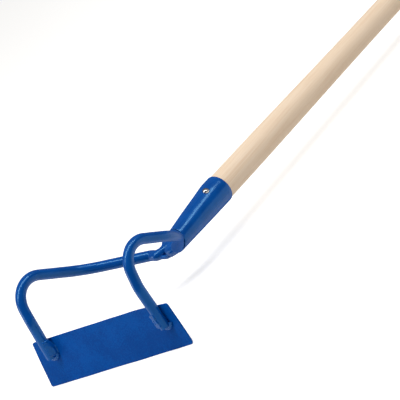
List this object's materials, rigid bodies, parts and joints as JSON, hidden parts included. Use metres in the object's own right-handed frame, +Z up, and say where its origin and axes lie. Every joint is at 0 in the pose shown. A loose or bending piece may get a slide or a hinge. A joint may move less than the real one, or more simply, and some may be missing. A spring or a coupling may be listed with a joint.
{
  "type": "double hoe",
  "caption": "Drag hoe with a wide flat steel blade carried by bent round arms on a socketed, riveted wooden handle.",
  "frame": {"origin": "centre of the underside of the bounding box, on the ground the tool rests on", "axes": "+Y runs along the handle from the blade to the butt, X lies across the blade, and +Z is up, the side the arms rise to; the tool rests on its cutting edge and on its butt"},
  "size_m": [0.2228, 1.5664, 0.1057],
  "materials": {
    "handle_wood": "pale straight-grained hardwood, sanded smooth and left bare",
    "rivet_steel": "bright domed rivet head",
    "blue_paint": "glossy blue paint with a faint orange peel over steel and welds"
  },
  "bodies": {
    "root": {"handle": "handle_wood", "handle_rivet": "rivet_steel", "socket": "blue_paint", "left_arm": "blue_paint", "right_arm": "blue_paint", "neck_weld": "blue_paint", "blade": "blue_paint", "left_blade_weld": "blue_paint", "right_blade_weld": "blue_paint"}
  },
  "joints": []
}
